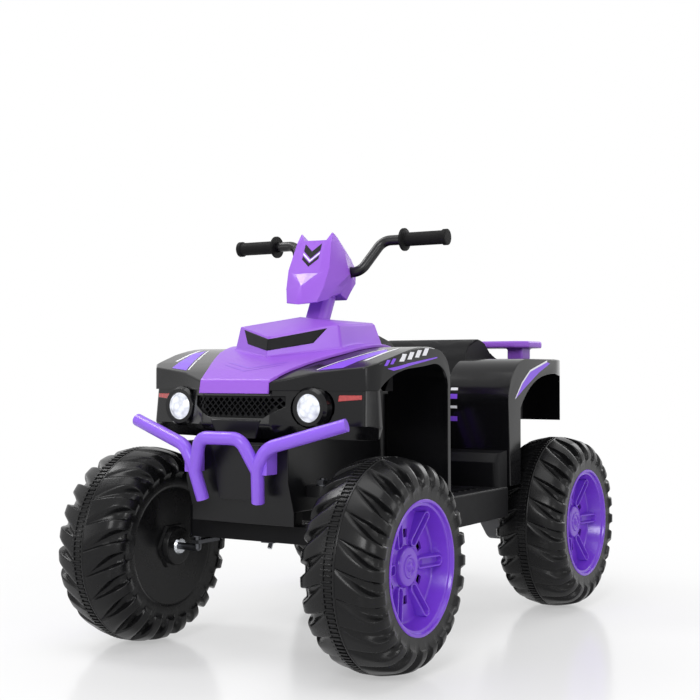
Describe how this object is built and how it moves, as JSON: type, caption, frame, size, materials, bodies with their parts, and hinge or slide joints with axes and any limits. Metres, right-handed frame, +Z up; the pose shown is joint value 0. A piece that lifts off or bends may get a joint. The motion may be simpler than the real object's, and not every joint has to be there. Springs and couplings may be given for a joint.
{
  "type": "kids quad bike",
  "caption": "Ride-on toy quad bike with chunky hollow wheels, linked steering, sprung pedal, bull bar, seat and rear rack.",
  "frame": {"origin": "on the floor below the middle of the overall box, midway between the axles", "axes": "+Z up, -Y is the driving direction, +X is the rider's left"},
  "size_m": [0.618, 1.006, 0.7096],
  "materials": {
    "purple_gloss": "satin to glossy moulded purple",
    "rim_purple": "glossy moulded purple",
    "black_gloss": "glossy moulded black",
    "black_matte": "fine grained moulded black",
    "wheel_black": "matte blow-moulded black",
    "steel": "plain zinc-plated steel",
    "black_metal": "black powder-coated tube",
    "rubber": "soft black",
    "bowl_chrome": "bright vacuum-metallised plastic",
    "lens_clear": "clear",
    "reflector_red": "deep red, glossy",
    "housing_grey": "plain dark grey"
  },
  "bodies": {
    "chassis": {"chassis_tub": "black_matte", "front_beam": "black_matte", "kingpin_brackets": "black_matte", "steering_bush": "black_matte", "side_panels": "black_gloss", "footboard_left": "black_matte", "footboard_right": "black_matte", "pedal_pin": "steel", "front_fender_left": "black_gloss", "front_fender_right": "black_gloss", "front_fascia": "black_gloss", "grille": "black_matte", "headlight_bezels": "black_gloss", "headlight_bowls": "bowl_chrome", "headlight_lenses": "lens_clear", "side_reflectors": "reflector_red", "hood": "purple_gloss", "scoop_insert": "black_matte", "bull_bar": "purple_gloss", "centre_cover": "black_matte", "seat": "black_matte", "rear_fender_left": "black_gloss", "rear_fender_right": "black_gloss", "rear_panel": "black_gloss", "rear_rack": "purple_gloss", "rear_axle": "steel", "rear_axle_nuts": "steel", "gearboxes": "housing_grey", "motors": "steel", "battery": "housing_grey", "body_screws": "steel"},
    "steering": {"steering_column": "steel", "steering_neck": "purple_gloss", "head_front": "purple_gloss", "head_back": "purple_gloss", "handlebar": "black_metal", "grip_left": "rubber", "grip_right": "rubber"},
    "left_knuckle": {"knuckle_left": "steel", "kingpin_nuts_left": "steel"},
    "right_knuckle": {"knuckle_right": "steel", "kingpin_nuts_right": "steel"},
    "tie_rod": {"tie_rod": "steel"},
    "pedal": {"accelerator_pedal": "black_matte"},
    "power_button": {"power_button": "reflector_red"},
    "horn_button": {"horn_button": "purple_gloss"},
    "direction_rocker": {"direction_rocker": "black_matte"},
    "wheel_front_left": {"tyre_front_left": "wheel_black", "rim_front_left": "rim_purple", "wheel_bush_front_left": "steel"},
    "wheel_front_right": {"tyre_front_right": "wheel_black", "rim_front_right": "rim_purple", "wheel_bush_front_right": "steel"},
    "wheel_rear_left": {"tyre_rear_left": "wheel_black", "rim_rear_left": "rim_purple", "wheel_bush_rear_left": "steel"},
    "wheel_rear_right": {"tyre_rear_right": "wheel_black", "rim_rear_right": "rim_purple", "wheel_bush_rear_right": "steel"}
  },
  "joints": [
    {"name": "steer", "type": "hinge", "parent": "chassis", "child": "steering", "pos_m": [0, -0.338, 0.2], "axis": [0, 0.4493, 0.8934], "range_deg": [-20, 20]},
    {"name": "left_kingpin", "type": "hinge", "parent": "chassis", "child": "left_knuckle", "pos_m": [0.125, -0.338, 0.165], "axis": [0, 0, 1], "range_deg": [-20, 20]},
    {"name": "right_kingpin", "type": "hinge", "parent": "chassis", "child": "right_knuckle", "pos_m": [-0.125, -0.338, 0.165], "axis": [0, 0, 1], "range_deg": [-20, 20]},
    {"name": "tie_rod_end", "type": "hinge", "parent": "left_knuckle", "child": "tie_rod", "pos_m": [0.125, -0.296, 0.183], "axis": [0, 0, 1], "range_deg": [-20, 20]},
    {"name": "front_left_spin", "type": "hinge", "parent": "left_knuckle", "child": "wheel_front_left", "pos_m": [0.239, -0.338, 0.165], "axis": [1, 0, 0], "continuous": true},
    {"name": "front_right_spin", "type": "hinge", "parent": "right_knuckle", "child": "wheel_front_right", "pos_m": [-0.239, -0.338, 0.165], "axis": [1, 0, 0], "continuous": true},
    {"name": "rear_left_spin", "type": "hinge", "parent": "chassis", "child": "wheel_rear_left", "pos_m": [0.239, 0.338, 0.165], "axis": [1, 0, 0], "continuous": true},
    {"name": "rear_right_spin", "type": "hinge", "parent": "chassis", "child": "wheel_rear_right", "pos_m": [-0.239, 0.338, 0.165], "axis": [1, 0, 0], "continuous": true},
    {"name": "accelerator", "type": "hinge", "parent": "chassis", "child": "pedal", "pos_m": [-0.165, -0.004, 0.257], "axis": [1, 0, 0], "range_deg": [0, 15], "stiffness_Nm_per_rad": 1.2, "springref_deg": -14.32},
    {"name": "power_press", "type": "slide", "parent": "steering", "child": "power_button", "axis": [0, -0.8934, 0.4493], "range_m": [0, 0.0025], "stiffness_N_per_m": 400, "springref_m": -0.001},
    {"name": "horn_press", "type": "slide", "parent": "steering", "child": "horn_button", "axis": [0, -0.8934, 0.4493], "range_m": [0, 0.0025], "stiffness_N_per_m": 400, "springref_m": -0.001},
    {"name": "direction_rock", "type": "hinge", "parent": "steering", "child": "direction_rocker", "pos_m": [0, -0.10805, 0.61492], "axis": [1, 0, 0], "range_deg": [-6, 6]}
  ],
  "couplings": [
    {"joint": "left_kingpin", "follows": "steer", "ratio": 1},
    {"joint": "right_kingpin", "follows": "steer", "ratio": 1},
    {"joint": "tie_rod_end", "follows": "steer", "ratio": -1}
  ]
}
